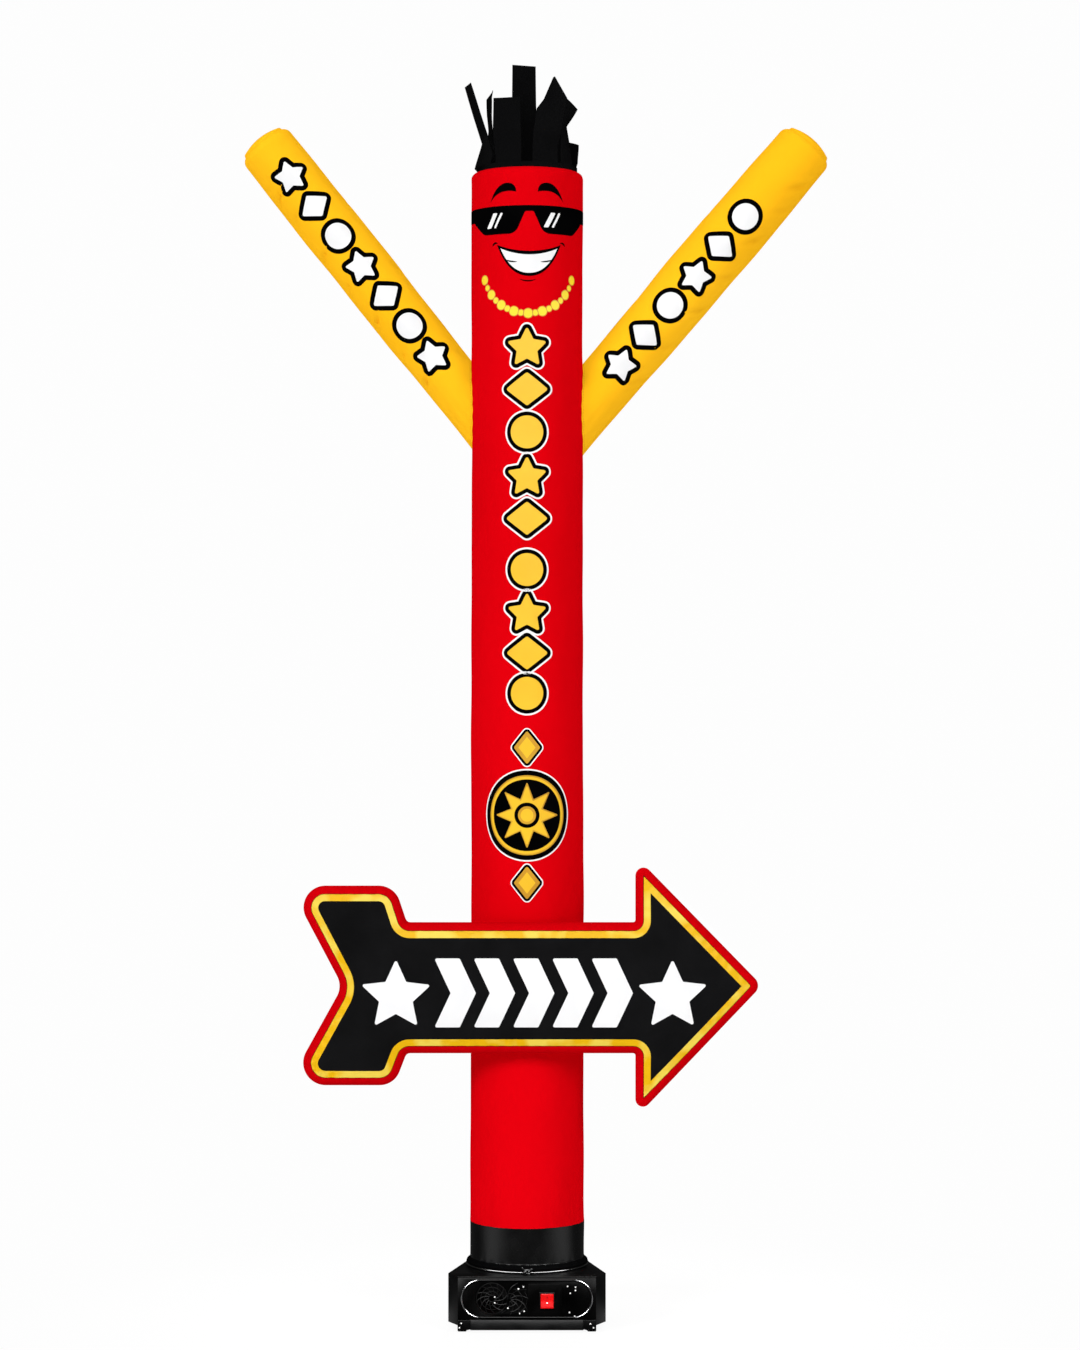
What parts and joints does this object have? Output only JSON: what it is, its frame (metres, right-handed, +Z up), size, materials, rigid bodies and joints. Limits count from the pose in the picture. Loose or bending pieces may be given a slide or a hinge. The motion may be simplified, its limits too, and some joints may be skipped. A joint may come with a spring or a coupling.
{
  "type": "inflatable tube dancer on a blower",
  "caption": "Inflated upright fabric tube with raised arms, slit hair and an arrow sign, tied to a low blower case with a guarded air inlet and a rocker switch.",
  "frame": {"origin": "middle of the base of its bounding box, on the surface that the feet stand on", "axes": "+Z up the tube, +Y towards the back, +X to the viewer's right as the arrow sign faces the viewer"},
  "size_m": [1.5884, 0.4533, 3.4202],
  "materials": {
    "red_nylon": "satin",
    "sign_nylon": "satin",
    "yellow_nylon": "satin",
    "black_nylon": "satin",
    "tie_black": "satin",
    "black_enamel": "satin",
    "gloss_black": "gloss",
    "rocker_red": "gloss",
    "foot_rubber": "matte"
  },
  "bodies": {
    "blower": {"apron": "black_enamel", "arm_left": "yellow_nylon", "arm_right": "yellow_nylon", "arrow_sign": "sign_nylon", "blower_base": "black_enamel", "body_tube": "red_nylon", "cord_gland": "black_enamel", "corner_left": "black_enamel", "corner_right": "black_enamel", "foot_front_left": "foot_rubber", "foot_front_right": "foot_rubber", "foot_rear_left": "foot_rubber", "foot_rear_right": "foot_rubber", "front_panel": "black_enamel", "hair_fringe": "black_nylon", "head_cap": "black_nylon", "inlet_guard": "gloss_black", "outlet_collar": "black_enamel", "panel_rim": "gloss_black", "skirt": "black_nylon", "switch_bezel": "black_enamel", "switch_plate": "black_enamel", "tie_cord": "tie_black", "tie_knot": "tie_black"},
    "switch": {"rocker": "rocker_red"}
  },
  "joints": [
    {"name": "rocker_tilt", "type": "hinge", "parent": "blower", "child": "switch", "pos_m": [0.0307, -0.198, 0.0835], "axis": [1, 0, 0], "range_deg": [0, 16]}
  ]
}
